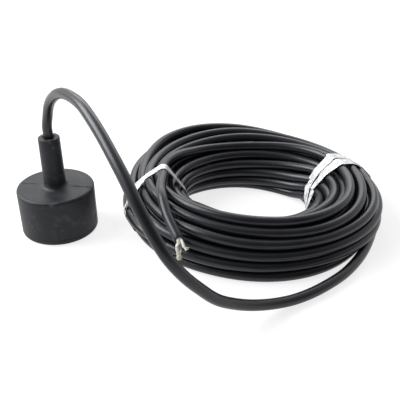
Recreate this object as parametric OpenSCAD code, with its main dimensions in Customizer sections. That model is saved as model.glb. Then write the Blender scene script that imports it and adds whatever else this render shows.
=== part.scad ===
// Sonar transducer: a rubber drum with a ceramic disc inside, and its cable wound into a tied coil.
// The drum stands on its sound face at the origin, and its axis is +Z.

/* [Ceramic stack] */
// Diameter of the ceramic disc
disc_d = 50; // [40:1:60]
// Thickness of the ceramic disc
disc_t = 20; // [16:1:26]
// Wall of the cork sleeve round the disc
cork_wall = 5; // [3:0.5:7]
// Thickness of the cork behind the disc
backing_t = 4; // [3:0.5:6]
// Resin between the cork and the rubber wall
potting_wall = 3; // [2:0.5:5]
// Resin above the cork backing
potting_cover = 9; // [8:0.5:14]

/* [Head] */
// Wall of the rubber drum
wall = 7; // [5:0.5:10]
// Thickness of the drum's roof
roof = 8; // [6:0.5:12]
// Thickness of the sound face
window_t = 6; // [5:0.5:9]
// Height of the face's spigot in the drum's mouth
spigot_h = 3; // [2:0.5:5]
// Radius of the drum's top edge
top_edge_r = 3; // [1:0.5:5]
// Radius of the sound face's bottom edge
bottom_edge_r = 2.5; // [1:0.5:4]
// Depth of the groove at the joint of face and drum
seam_depth = 0.4; // [0.2:0.1:0.8]

/* [Neck] */
// Length of the neck above the drum
neck_h = 55; // [45:1:62]
// Neck diameter where it meets the drum
neck_base_d = 22.6; // [21:0.2:28]
// Neck diameter at its top
neck_top_d = 21.6; // [18:0.2:24]
// Radius of the blend between neck and drum
neck_fillet_r = 5; // [2:0.5:7]
// Radius of the neck's top edge
neck_edge_r = 1; // [0.5:0.1:2]
// Step between the cable and the recess in the neck's top
mouth_step = 1.4; // [0.8:0.1:2.5]
// Depth of that recess
mouth_depth = 1.2; // [0.5:0.1:3]

/* [Cable] */
// Diameter of the cable's jacket
cable_d = 10; // [8:0.5:12]
// Length of jacket below the drum's roof
jacket_in = 2; // [1:0.5:3]
// Diameter of an insulated core
core_d = 3; // [2.4:0.1:3.2]
// Distance of each core from the cable's axis
core_offset = 2; // [1.6:0.1:2.6]
// Diameter of a bundle of bare strands
strand_d = 1.6; // [1:0.1:2]
// Diameter of the twisted screen wire
screen_d = 2.4; // [1.6:0.1:2.8]
// Distance of the rear lead's joint from the disc's centre
rear_joint_x = 12; // [8:1:18]
// Diameter of a solder joint
solder_d = 4.8; // [4.2:0.1:5.6]
// Height of a solder joint
solder_h = 1.6; // [1:0.1:2.4]

/* [Coil] */
// Middle of the coil along X
coil_x = 209; // [200:1:230]
// Middle of the coil along Y
coil_y = 25; // [0:1:60]
// Half the coil's length along X, at the middle of its turns
coil_half_x = 101; // [95:1:115]
// Half the coil's depth along Y, at the middle of its turns
coil_half_y = 91; // [85:1:95]
// Distance between rows of turns
row_pitch = 9; // [8.6:0.1:10]

/* [Ties] */
// Width of the left strap
left_strap_w = 12; // [8:0.5:14]
// Width of the right strap
right_strap_w = 16; // [10:0.5:18]
// Thickness of a strap
strap_t = 0.6; // [0.4:0.1:1]
// Direction of the left strap from the coil's middle
left_tie_angle = 182; // [175:1:185]
// Direction of the right strap at the coil's outer wall, between its two passes
right_tie_angle = 13; // [8:1:18]
// Angle between those two passes
right_tie_spread = 15; // [12:1:22]
// Direction of the right strap at the coil's inner wall, where its passes lie side by side
right_tie_inner = -6; // [-10:1:0]

/* [Hidden] */
$fn = 64;
// Glue line between bonded pieces
bond_gap = 0.05;
// Room between a strap and the turns it holds
strap_gap = 0.5;
// Room between other pieces that lie against each other
lay_gap = 0.3;

cork_r = disc_d / 2 + cork_wall;
cavity_r = cork_r + potting_wall;
head_r = cavity_r + wall;
disc_z = window_t + spigot_h;
backing_z = disc_z + disc_t;
backing_top = backing_z + backing_t;
cavity_top = backing_top + potting_cover;
head_h = cavity_top + roof;
neck_top = head_h + neck_h;
mouth_d = cable_d + 2 * mouth_step;
bore_d = cable_d + 2 * bond_gap;

jacket_end = cavity_top - jacket_in;
lead_bend_r = core_d;
lead_run_z = jacket_end - lead_bend_r;
front_joint_x = disc_d / 2 + bond_gap + core_d / 2;
solder_hole_d = solder_d + 2 * bond_gap;

// The coil's middle line is an oval of four quarter arcs, named by the direction of its outward normal
arc_shift = (coil_half_x - coil_half_y) / (2 - sqrt(2));
side_arc_r = coil_half_x - arc_shift;
end_arc_r = coil_half_y + arc_shift;
function on_end(a) = abs(sin(a)) > abs(cos(a)) + 0.0001;
function arc_r(a) = on_end(a) ? end_arc_r : side_arc_r;
function arc_centre(a) = on_end(a) ? [0, -sign(sin(a)) * arc_shift] : [sign(cos(a)) * arc_shift, 0];
function coil_point(a, u, z) =
    let (c = arc_centre(a), r = arc_r(a) + u)
    [coil_x + c.x + r * cos(a), coil_y + c.y + r * sin(a), z];

// Turns in the coil's section: u is measured outwards from the middle line
first_row_z = strap_t + strap_gap + cable_d / 2;
// Inner and outer turn of each row, bottom row first, in cable diameters from the middle line
right_rows = [[-3.3, 2.1], [-3.4, 2.7], [-3.1, 3.3], [-2.6, 2.9], [-1.8, 2], [-0.5, -0.1]];
back_rows = [[-3.1, 2.9], [-3.7, 3], [-3.5, 3.1], [-3.1, 3.1], [-2.2, 2.8], [-0.8, 0.3]];
left_rows = [[-1.5, 2.9], [-2.1, 3.3], [-2.5, 3.4], [-2.7, 3.1], [-2.3, 2.3], [-0.9, 0.9]];
front_rows = [[-3.2, 2.1], [-3.4, 2.7], [-2.9, 2.8], [-2.1, 2.4], [-0.9, 1.8], [0.9, 1]];
side_rows = [right_rows, back_rows, left_rows, front_rows];
// Height of the stack of rows at the same four sides, as a share of the left one
side_rise = [1.07, 1.17, 1, 1.03];
function at_side(a, values) =
    pow(max(cos(a), 0), 2) * values[0] + pow(max(sin(a), 0), 2) * values[1]
    + pow(max(-cos(a), 0), 2) * values[2] + pow(max(-sin(a), 0), 2) * values[3];
function row_z(a, i) = first_row_z + i * row_pitch * at_side(a, side_rise);
function row_end(a, i, k) = [cable_d * at_side(a, [for (rows = side_rows) rows[i][k]]), row_z(a, i)];
top_row = len(left_rows) - 1;
function end_turns(a) = [for (i = [0 : top_row], k = [0, 1]) row_end(a, i, k)];

// The cable's tail lies on the top row, inwards of the middle line
function tail_site(a) = [-cable_d / 2 - lay_gap, row_z(a, top_row) + cable_d + lay_gap];
// Steps of the coil that the tail follows before it leaves at the left
tail_steps = 5;

// Steps round the coil, and round a strap drawn tight over turns
coil_step = 7.5;
outline_step = 15;
// Outline of such a strap: the point whose outward normal has direction n
function reach(p, n) = p.x * cos(n) + p.y * sin(n);
function farthest(turns, n) =
    let (most = max([for (p = turns) reach(p, n)]))
    [for (p = turns) if (reach(p, n) > most - 0.001) p][0];
function wrap_point(turns, n, r) = farthest(turns, n) + r * [cos(n), sin(n)];

// Route of the lead from the neck to the foot of the coil
lead_route = concat([[0, 0, jacket_end], [0, 0, cavity_top + neck_h / 2], [0, 0, neck_top]], [
    [0, -1, 115], [3, -5, 128], [9, -15, 145], [19, -30, 159], [31, -48, 168], [43, -66, 171],
    [55, -86, 171], [66, -105, 166], [76, -122, 159], [86, -139, 150], [96, -155, 139],
    [106, -170, 125], [116, -180, 109], [127, -186, 91], [139, -185, 73], [152, -180, 56],
    [165, -173, 40], [180, -163, 27], [197, -153, 17], [215, -143, 10], [234, -133, 6],
    [253, -122, 5], [271, -109, 5], [288, -94, 5], [303, -76, 5], [315, -58, 5],
    [325, -39, 5], [332.6, -22, 5]
]);

// Route of the tail: along the top of the coil, then off it at the left, to where the jacket is cut
tail_bend = [[-95.5, -22, 0.2], [-95, -45, 0.4], [-93, -67, 0], [-88, -88, -8], [-79, -109, -18]];
tail_route = concat(
    [
        for (a = [180 - tail_steps * coil_step : coil_step : 180])
            let (p = tail_site(a))
            coil_point(a, p.x, p.y)
    ],
    [for (p = tail_bend) [coil_x, coil_y, tail_site(180).y] + p]
);

// Cut end of the jacket: its middle, its direction and the two directions across it
cut_at = tail_route[len(tail_route) - 1];
cut_dir = unit(cut_at - tail_route[len(tail_route) - 2]);
cut_side = unit(cross(cut_dir, [0, 0, 1]));
cut_up = cross(cut_side, cut_dir);
function cut_seat(a) = cut_at + core_offset * (cos(a) * cut_side + sin(a) * cut_up);
// A core's route: straight out of the jacket, then through points given from its seat
function core_route(a, points) = concat(
    [cut_seat(a), cut_seat(a) + core_d * cut_dir],
    [for (p = points) cut_seat(a) + p]
);
white_route = core_route(150, [[3.2, -6.8, -4.1], [6, -10.8, -7.9]]);
black_route = core_route(270, [[2.7, -7.7, -3.9], [4.6, -12.5, -7.3]]);
screen_route = core_route(30, [[0.5, -5.5, -4.9], [0.9, -7.6, -9.9], [1.6, -9.3, -13.9], [2.8, -12, -21]]);
white_tip = [[0, 0, 0], [1.3, -1.6, -0.4], [2.6, -2.9, 0.2], [3.9, -3.6, 1.2]];
black_tip = [[0, 0, 0], [0.3, -1.3, -2.2], [0.2, -2, -5], [-0.3, -2.4, -8]];
function last_of(path) = path[len(path) - 1];
// Bare strands go on from the end of a core
function strand_route(core, tip) =
    let (from = last_of(core) + lay_gap * tangent(core, len(core) - 1))
    [for (p = tip) from + p];

function unit(v) = v / norm(v);
function tangent(path, i) = unit(path[min(i + 1, len(path) - 1)] - path[max(i - 1, 0)]);
// Sideways direction at each point, carried along without twisting
function carry(side, t) = unit(side - (side * t) * t);
function sides(path, i, side) = i == len(path) ? [] :
    let (s = carry(side, tangent(path, i)))
    concat([s], sides(path, i + 1, s));
// Rings of points round a path
function rings(path, d, n, first_side) = let (s = sides(path, 0, first_side)) [
    for (i = [0 : len(path) - 1], k = [0 : n - 1])
        path[i] + d / 2 * (cos(360 * k / n) * s[i] + sin(360 * k / n) * cross(tangent(path, i), s[i]))
];
// Two triangles between rings i and j beside corner k, cut the same way on both faces of a strap
function side_faces(i, j, k, n) =
    let (a = i * n + k, b = j * n + k, c = j * n + (k + 1) % n, d = i * n + (k + 1) % n)
    k < n / 2 ? [[a, b, c], [a, c, d]] : [[a, b, d], [b, c, d]];
// Faces of a run of equal rings, closed at both ends
function ring_faces(count, n) = concat(
    [[for (k = [0 : n - 1]) k]],
    flatten([for (i = [0 : count - 2], k = [0 : n - 1]) side_faces(i, i + 1, k, n)]),
    [[for (k = [n - 1 : -1 : 0]) (count - 1) * n + k]]
);
// Faces of a run of rings that closes on itself
function loop_faces(count, n) = flatten(
    [for (i = [0 : count - 1], k = [0 : n - 1]) side_faces(i, (i + 1) % count, k, n)]
);

// Turns that a strap holds where it crosses the coil at angle a
function held_turns(a, on_tail) = concat(end_turns(a), on_tail ? [tail_site(a)] : []);
// A strap's two points at one edge, where its outline round those turns has normal n
function strap_edge(held, n, a) = [
    for (lift = [0, strap_t])
        let (p = wrap_point(held, n, cable_d / 2 + strap_gap + lift))
        coil_point(a, p.x, p.y)
];
// Its four corners, for a strap of width w whose middle is at angle a
function strap_corners(n, a, w, on_tail) =
    let (r = arc_r(a) + farthest(held_turns(a, on_tail), n).x,
         swing = w / 2 / r * 180 / PI,
         near = strap_edge(held_turns(a - swing, on_tail), n, a - swing),
         far = strap_edge(held_turns(a + swing, on_tail), n, a + swing))
    [near[0], near[1], far[1], far[0]];
function flatten(lists) = [for (l = lists, v = l) v];

module tube(path, d, n, first_side = [1, 0, 0]) {
    polyhedron(rings(path, d, n, first_side), ring_faces(len(path), n));
}

// Rectangle against the axis with one round corner, as a profile to turn
module round_top(r, z0, z1, edge) {
    translate([0, z0]) square([r, z1 - z0 - edge]);
    translate([0, z0]) square([r - edge, z1 - z0]);
    translate([r - edge, z1 - edge]) intersection() {
        circle(edge);
        square(edge);
    }
}

module neck_profile() {
    blend_r = neck_base_d / 2 + neck_fillet_r;
    top_r = neck_top_d / 2;
    polygon([
        [0, head_h - top_edge_r], [neck_base_d / 2, head_h - top_edge_r], [neck_base_d / 2, head_h],
        [top_r, neck_top - neck_edge_r], [top_r - neck_edge_r, neck_top], [0, neck_top]
    ]);
    translate([top_r - neck_edge_r, neck_top - neck_edge_r]) intersection() {
        circle(neck_edge_r);
        square(neck_edge_r);
    }
    difference() {
        translate([0, head_h - top_edge_r]) square([blend_r, top_edge_r + neck_fillet_r]);
        translate([blend_r, head_h + neck_fillet_r]) circle(neck_fillet_r);
    }
}

module housing() {
    color([0.13, 0.13, 0.14]) difference() {
        rotate_extrude() union() {
            round_top(head_r, window_t, head_h, top_edge_r);
            neck_profile();
        }
        translate([0, 0, window_t - 1]) cylinder(r = cavity_r, h = cavity_top - window_t + 1);
        translate([0, 0, cavity_top - 1]) cylinder(d = bore_d, h = neck_top);
        translate([0, 0, neck_top - mouth_depth]) cylinder(d = mouth_d, h = mouth_depth + 1);
    }
}

module acoustic_window() {
    color([0.16, 0.16, 0.17]) {
        rotate_extrude() difference() {
            translate([0, window_t]) mirror([0, 1]) round_top(head_r, 0, window_t, bottom_edge_r);
            polygon([
                [head_r - seam_depth, window_t], [head_r, window_t - seam_depth],
                [head_r + 1, window_t - seam_depth], [head_r + 1, window_t + 1],
                [head_r - seam_depth, window_t + 1]
            ]);
        }
        translate([0, 0, window_t]) cylinder(r = cavity_r - bond_gap, h = spigot_h);
    }
}

module piezo_disc() {
    color([0.78, 0.74, 0.62]) translate([0, 0, disc_z]) cylinder(d = disc_d, h = disc_t);
}

module cork_sleeve() {
    color([0.72, 0.53, 0.34]) difference() {
        translate([0, 0, disc_z]) cylinder(r = cork_r, h = disc_t);
        translate([0, 0, disc_z - 1]) cylinder(d = disc_d + 2 * bond_gap, h = disc_t + 2);
        translate([front_joint_x, 0, disc_z - 1]) cylinder(d = core_d + 2 * bond_gap, h = disc_t + 2);
        translate([front_joint_x, 0, disc_z - 1]) cylinder(d = solder_hole_d, h = solder_h + 1 + bond_gap);
    }
}

module cork_backing() {
    color([0.68, 0.49, 0.31]) difference() {
        translate([0, 0, backing_z]) cylinder(r = cork_r, h = backing_t);
        translate([-rear_joint_x, 0, backing_z - 1]) cylinder(d = solder_hole_d, h = backing_t + 2);
        translate([front_joint_x, 0, backing_z - 1]) cylinder(d = core_d + 2 * bond_gap, h = backing_t + 2);
    }
}

// A core that leaves the cable at the axis, turns outwards, and turns down to a joint at x
module inner_core(x, end_z, d) {
    translate([core_offset + lead_bend_r, 0, jacket_end]) rotate([90, 0, 0])
        rotate([0, 0, 180]) rotate_extrude(angle = 90) translate([lead_bend_r, 0]) circle(d = d);
    translate([core_offset + lead_bend_r, 0, lead_run_z]) rotate([0, 90, 0])
        cylinder(d = d, h = x - core_offset - 2 * lead_bend_r);
    translate([x - lead_bend_r, 0, lead_run_z - lead_bend_r]) rotate([90, 0, 0])
        rotate_extrude(angle = 90) translate([lead_bend_r, 0]) circle(d = d);
    translate([x, 0, end_z]) cylinder(d = d, h = lead_run_z - lead_bend_r - end_z);
}

module front_lead() {
    color([0.9, 0.88, 0.82]) inner_core(front_joint_x, disc_z, core_d);
}

module rear_lead() {
    color([0.1, 0.1, 0.1]) mirror([1, 0, 0]) inner_core(rear_joint_x, backing_z, core_d);
}

module solder_joints() {
    color([0.75, 0.76, 0.78]) {
        translate([-rear_joint_x, 0, backing_z]) difference() {
            cylinder(d1 = solder_d, d2 = core_d + 4 * bond_gap, h = solder_h);
            translate([0, 0, -1]) cylinder(d = core_d + 2 * bond_gap, h = solder_h + 2);
        }
        difference() {
            translate([front_joint_x, 0, disc_z]) cylinder(d = solder_d, h = solder_h);
            translate([front_joint_x, 0, disc_z - 1]) cylinder(d = core_d + 2 * bond_gap, h = solder_h + 2);
            translate([0, 0, disc_z - 1]) cylinder(d = disc_d + 2 * bond_gap, h = solder_h + 2);
        }
    }
}

module potting() {
    channel_d = core_d + 2 * bond_gap;
    plug_z = backing_z + solder_h + bond_gap;
    color([0.2, 0.17, 0.13]) difference() {
        union() {
            difference() {
                translate([0, 0, disc_z]) cylinder(r = cavity_r - bond_gap, h = cavity_top - disc_z);
                translate([0, 0, disc_z - 1]) cylinder(r = cork_r + bond_gap, h = backing_top - disc_z + 1);
            }
            translate([-rear_joint_x, 0, plug_z]) cylinder(d = solder_d, h = backing_top - plug_z + 1);
        }
        inner_core(front_joint_x, backing_z, channel_d);
        mirror([1, 0, 0]) inner_core(rear_joint_x, backing_z, channel_d);
        translate([0, 0, jacket_end]) cylinder(d = bore_d, h = jacket_in + 1);
    }
}

module cable_lead() {
    color([0.11, 0.11, 0.12]) tube(lead_route, cable_d, 12);
}

module cable_coil() {
    angles = [for (a = [0 : coil_step : 360 - coil_step]) a];
    normals = [for (n = [outline_step / 2 : outline_step : 360]) n];
    points = [
        for (a = angles, n = normals)
            let (p = wrap_point(end_turns(a), n, cable_d / 2))
            coil_point(a, p.x, p.y)
    ];
    color([0.11, 0.11, 0.12]) polyhedron(points, loop_faces(len(angles), len(normals)));
}

module cable_tail() {
    color([0.11, 0.11, 0.12]) tube(tail_route, cable_d, 12, [0, 0, 1]);
}

module core_white() {
    color([0.93, 0.91, 0.85]) tube(white_route, core_d, 8, [0, 0, 1]);
}

module core_black() {
    color([0.12, 0.13, 0.16]) tube(black_route, core_d, 8, [1, 0, 0]);
}

module strands_white() {
    color([0.8, 0.77, 0.68]) tube(strand_route(white_route, white_tip), strand_d, 8, [0, 1, 0]);
}

module strands_black() {
    color([0.8, 0.77, 0.68]) tube(strand_route(black_route, black_tip), strand_d, 8, [1, 0, 0]);
}

module screen_wire() {
    color([0.78, 0.75, 0.66]) tube(screen_route, screen_d, 8, [1, 0, 0]);
}

module tie_left() {
    normals = [for (n = [outline_step / 2 : outline_step : 360]) n];
    corners = flatten([for (n = normals) strap_corners(n, left_tie_angle, left_strap_w, true)]);
    color([0.93, 0.93, 0.92]) polyhedron(corners, loop_faces(len(normals), 4));
}

// One strap wound twice: its passes lie side by side at the inner wall and spread towards the outer one
module tie_right() {
    inner_r = side_arc_r + arc_shift - reach(farthest(end_turns(0), 180), 180) - cable_d / 2;
    beside = (right_strap_w + lay_gap) / inner_r * 180 / PI;
    first = right_tie_angle + right_tie_spread / 2;
    second = right_tie_angle - right_tie_spread / 2;
    turn_at = [
        [-45, first], [100, first], [180, right_tie_inner + beside / 2], [225, right_tie_inner + beside / 2],
        [315, second], [460, second], [540, right_tie_inner - beside / 2], [585, right_tie_inner - beside / 2]
    ];
    normals = [for (n = [-45 + outline_step / 2 : outline_step : 585]) n];
    corners = flatten([for (n = normals) strap_corners(n, lookup(n, turn_at), right_strap_w, false)]);
    color([0.9, 0.9, 0.9]) polyhedron(corners, ring_faces(len(normals), 4));
}

housing();
acoustic_window();
piezo_disc();
cork_sleeve();
cork_backing();
potting();
front_lead();
rear_lead();
solder_joints();
cable_lead();
cable_coil();
cable_tail();
core_white();
core_black();
strands_white();
strands_black();
screen_wire();
tie_left();
tie_right();
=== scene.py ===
"""Sonar transducer: a moulded rubber drum on its sound face, its cable wound into a tied coil."""
import math

import bpy
import numpy as np
from bpy.props import FloatProperty, FloatVectorProperty, PointerProperty
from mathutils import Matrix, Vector


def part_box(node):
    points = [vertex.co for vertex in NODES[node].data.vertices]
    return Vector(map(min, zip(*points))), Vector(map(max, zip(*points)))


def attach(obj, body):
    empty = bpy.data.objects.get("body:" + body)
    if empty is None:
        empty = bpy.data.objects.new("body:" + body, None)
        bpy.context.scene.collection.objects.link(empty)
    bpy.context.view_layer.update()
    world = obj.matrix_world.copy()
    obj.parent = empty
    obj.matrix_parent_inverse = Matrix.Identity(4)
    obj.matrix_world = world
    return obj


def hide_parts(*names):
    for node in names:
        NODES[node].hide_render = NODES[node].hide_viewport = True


bl_info = {
    "name": "Sonar Transducer",
    "version": (1, 0, 0),
    "blender": (4, 5, 0),
    "location": "View3D > Sidebar > Transducer",
    "description": "Dresses a sonar transducer and its coiled cable around the packed solids",
    "category": "Object",
}

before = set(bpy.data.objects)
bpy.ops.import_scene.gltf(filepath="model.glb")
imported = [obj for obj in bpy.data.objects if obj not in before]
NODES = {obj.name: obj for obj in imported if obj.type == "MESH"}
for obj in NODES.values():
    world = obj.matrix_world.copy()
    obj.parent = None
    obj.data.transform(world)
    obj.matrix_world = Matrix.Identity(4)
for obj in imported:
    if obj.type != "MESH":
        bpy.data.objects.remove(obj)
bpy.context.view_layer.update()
MM = 0.001

# Route of the lead from inside the neck to the foot of the coil, in mm, as in the part's source
LEAD_ROUTE = [
    (0, 0, 82), (0, 0, 94), (0, 0, 105), (0, -1, 115), (3, -5, 128), (9, -15, 145), (19, -30, 159),
    (31, -48, 168), (43, -66, 171), (55, -86, 171), (66, -105, 166), (76, -122, 159), (86, -139, 150),
    (96, -155, 139), (106, -170, 125), (116, -180, 109), (127, -186, 91), (139, -185, 73),
    (152, -180, 56), (165, -173, 40), (180, -163, 27), (197, -153, 17), (215, -143, 10), (234, -133, 6),
    (253, -122, 5), (271, -109, 5), (288, -94, 5), (303, -76, 5), (315, -58, 5), (325, -39, 5),
    (332.6, -22, 5),
]
# The tail leaves the top of the coil at the left, for the place where the jacket is cut
TAIL_BEND = [
    (-95.5, -22, 0.2), (-96.5, -45, 0.4), (-94.5, -67, 0), (-89, -88, -8), (-77.3, -112.9, -19.9),
]
TAIL_HEIGHT = 61.4
# Where it leaves the turns: degrees past the last of them, how far out, how high
TAIL_LEAVES = (15.7, -2.5, 61.6)
# Its slanted cut: the way it faces, and its slope
CUT_FACES = (0, -0.86, 0.5)
CUT_SLANT = 0.55
COIL_MIDDLE = (209.0, 25.0)
COIL_HALF = (101.0, 91.0)
# The coil's middle line is an oval of four quarter arcs
ARC_SHIFT = (COIL_HALF[0] - COIL_HALF[1]) / (2 - math.sqrt(2))
SIDE_ARC_R = COIL_HALF[0] - ARC_SHIFT
END_ARC_R = COIL_HALF[1] + ARC_SHIFT

# Where each turn lies at the front, right, back and left of the coil: how far out from the coil's
# middle line, and how high
TURNS = [
    (None, (29.5, 5), (27.5, 5), (29, 5)),
    ((31.5, 5), (19.5, 5), (29, 16), (32.5, 14.5)),
    ((18, 14.2), (24, 14.5), (19, 15), (22, 14)),
    ((8, 14), (14, 14.2), (8, 14), (11.5, 14)),
    ((-2, 14), (4, 14), (-3, 14), (12, 23)),
    ((-12, 14), (-6, 14), (-14, 14), (1.5, 23)),
    ((-21, 14), (-16, 14), (-25, 14), (-10, 23)),
    ((-21.5, 22.3), (-17, 23.5), (-24.5, 23), (-11.5, 32.5)),
    ((-11.5, 23), (-6, 23.5), (-13.5, 23), (-1.5, 32.5)),
    ((-2, 23), (5, 23.5), (-2.5, 23), (8.5, 32.5)),
    ((7.5, 23), (15, 24), (8.5, 23), (18.5, 33)),
    ((17.5, 23.5), (24, 25), (19.5, 25), (23.5, 24)),
    ((13, 32.8), (16, 33.5), (12, 36), (7, 40.7)),
    ((3, 32), (6, 33), (-3, 34), (-3.5, 41.5)),
    ((5.5, 41), (-5.5, 42), (-26, 42), (-14, 42)),
    ((-4, 41), (-15, 42), (-34, 32), (-21.5, 33)),
    ((-8, 32), (-22, 34), (-36, 23), (-20.5, 23.5)),
    ((-17.5, 29), (-28.5, 25.5), (-37, 14), (-18, 14)),
    ((-28.5, 17.5), (-31.5, 16), (-31, 5), (-12.5, 5)),
    ((-29, 6), (-32, 6.5), (-21, 5), (-9.5, 14)),
    ((-19.5, 5), (-22.5, 5), (-11.5, 5), (1, 14)),
    ((-9.8, 5), (-12.5, 5), (-2, 5), (-3.2, 5)),
    ((0.5, 5), (-2, 5), (7.5, 5), (7.5, 5)),
    ((10.8, 5), (8.5, 5), (17.5, 6.5), (18.3, 5)),
    ((21, 5), (14, 6), (30.5, 28), (34.5, 25)),
    ((28.5, 15), (33, 17.5), (30, 41), (28, 38)),
    ((28, 25), (33.5, 28.5), (26, 53), (18, 45)),
    ((23.5, 35), (23.5, 40.5), (3, 58.5), (9, 50.5)),
    ((16, 43.5), (10.4, 50.6), (-9, 57), (-1, 51.3)),
    ((9, 50.5), (-3, 53), (-20, 50), (-5.3, 61.4)),
]
# More such places: turn, degrees on from the front, how far out, how high
STRAYS = [
    (0, 298, 25, 5), (1, -34, 23.5, 5), (1, -18, 27, 5), (1, 24, 32, 5), (1, 42, 27, 5),
    (1, 66, 21.5, 5), (1, 135, 26.5, 9.5), (14, 228, -24.5, 43), (15, 30, -1, 40), (15, 45, -6, 40),
    (15, 228, -27.5, 33), (16, 30, -6, 31), (16, 143, -36, 25), (16, 228, -25.5, 23.5),
    (17, 30, -15, 28), (17, 45, -19, 26), (17, 143, -38, 15.5), (17, 228, -22, 14),
    (18, 40, -28.5, 15.5), (18, 143, -36.5, 6), (18, 159, -35, 5), (18, 202, -25.3, 5),
    (18, 228, -15.5, 5), (19, 143, -26.5, 5), (24, 135, 24.5, 17), (25, 76, 34.5, 17),
    (25, 135, 31, 28), (25, 218, 35.5, 45.6), (25, 240, 35, 42), (26, 74, 34, 28),
    (26, 135, 28.5, 35), (26, 167, 25.5, 45.5), (26, 184, 26.5, 53.5), (26, 198, 33, 55.5),
    (26, 218, 36, 55.5), (26, 230, 30, 53.5), (26, 246, 24, 49.5), (27, 105, 15.5, 42),
    (27, 130, 12, 45.5), (27, 144, 7.5, 49.5), (27, 166, 3.5, 55), (28, 28, 22, 42),
    (28, 130, 1.5, 50.5), (29, 28, 12, 49.5), (29, 45, 9, 49.5), (29, 130, -9.5, 53.5),
]
# How firmly a turn keeps its place at those four sides while the winding settles; the rest are free
FIRM = {
    0: (0, 0.1, 0.03, 0.1), 1: (0.1, 0, 0.03, 0.1), 14: (0.03, 0.03, 0.1, 0.1), 19: (0.05, 0.05, 0, 0),
    24: (0, 0, 0.03, 0.1), 25: (0.1, 0.1, 0.03, 0.1), 29: (0.1, 0.1, 0.1, 0.5),
    **dict.fromkeys((15, 16, 17, 18), (0.1, 0.1, 0.1, 0.05)), **dict.fromkeys((26, 27, 28), (0.1,) * 4),
}
STRAY_FIRM = 0.1
LEAST_FIRM = 0.003
# Where the lead meets the coil: direction, how far out, how high, how firmly it keeps its place
COIL_START = (-24.0, 32.6, 5, 0.5)
# Stations of a turn, distance of touching turns in diameters, and how a push acts and spreads
STATIONS = 72
TURN_GAP = 1.015
PUSH = 0.8
SPREAD = 0.6
# The films: distance from the turns, rise in one wrap, least height and step along them, in mm
FILM_CLEAR = 0.25
FILM_RISE = 0.6
FILM_LOW = 0.15
FILM_STEP = 1.5
FILM_COLUMNS = 13
EASE_SPAN = 13
# Turn from wire to wire that spreads a bundle's wires evenly, in radians
GOLDEN_ANGLE = 2.399963
CABLE_SIDES = 20
CORE_SIDES = 18
FILLER_SIDES = 28

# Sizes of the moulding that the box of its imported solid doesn't give, in mm
DRUM_TOP = 50.0
RIM_R = 3
FILLET_R = 5
NECK_FOOT_R = 11.3
NECK_LIP_R = 1
RECESS_R = 6.4
RECESS_DEPTH = 1.2
BORE_R = 5.06
CAVITY_R = 33
CAVITY_TOP = 42
FACE_EDGE_R = 2.5
SPIGOT_R = 32.95
SPIGOT_H = 3

# Camera, soft boxes and floor, in metres and degrees; the sensor in mm
CAMERA_AT = (0.15171, -0.54021, 0.34597)
CAMERA_TILT = 59.815
SENSOR_W = 36.0
LIGHT_TARGET = (0.14, 0.0, 0.04)
KEY_SIZE = (1.0, 1.0)
KEY_AT = (-0.9, 0.1, 0.95)
TOP_SIZE = (1.6, 0.6)
TOP_AT = (0.2, 1.1, 0.9)
FLOOR_HALF = 6.0
FLOOR_LEVEL = -0.0003
OPENING_TOWARDS = (0.22, -0.83, 0.51)


def a_length(name, text, millimetres, low, high):
    return FloatProperty(name=name, description=text, default=millimetres * MM, min=low * MM,
                         max=high * MM, subtype="DISTANCE", unit="LENGTH", precision=5)


def an_angle(name, text, degrees):
    return FloatProperty(name=name, description=text, default=math.radians(degrees),
                         subtype="ANGLE", unit="ROTATION")


def a_colour(name, text, value):
    return FloatVectorProperty(name=name, description=text, default=value, size=3, min=0, max=1,
                               subtype="COLOR")


def a_level(name, text, value, kind="NONE"):
    return FloatProperty(name=name, description=text, default=value, min=0, unit=kind)


class TransducerSizes(bpy.types.PropertyGroup):
    """Sizes of the dressed pieces"""
    cable_d: a_length("Cable diameter", "Diameter of the cable's jacket", 10, 8, 12)
    jacket_wall: a_length("Jacket wall", "Wall of the jacket where it is cut", 1.8, 0.8, 2)
    core_d: a_length("Core diameter", "Diameter of an insulated core", 3, 2.4, 3.2)
    wire_d: a_length("Wire diameter", "Diameter of one bare wire", 0.32, 0.2, 0.5)
    left_strap_w: a_length("Left strap width", "Width of the left tie's film", 12, 8, 14)
    right_strap_w: a_length("Right strap width", "Width of the right tie's film", 16, 10, 18)
    strap_t: a_length("Strap thickness", "Thickness of a tie's film", 0.25, 0.1, 0.6)
    left_tie_angle: an_angle("Left tie", "Direction of the left tie from the coil's middle", 193)
    right_tie_angle: an_angle("Right tie", "Direction of the right tie at the outer wall", 13)
    right_tie_spread: an_angle("Right tie spread", "Angle between the right tie's two passes", 15)
    right_tie_inner: an_angle("Right tie inside", "Direction of the right tie at the inner wall", -6)
    mould_line_h: a_length("Mould line height", "Height of the ridge at the mould's joint", 0.45, 0, 1)
    mould_line_angle: an_angle("Mould line", "Direction of the mould's joint over the drum", -7)


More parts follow.
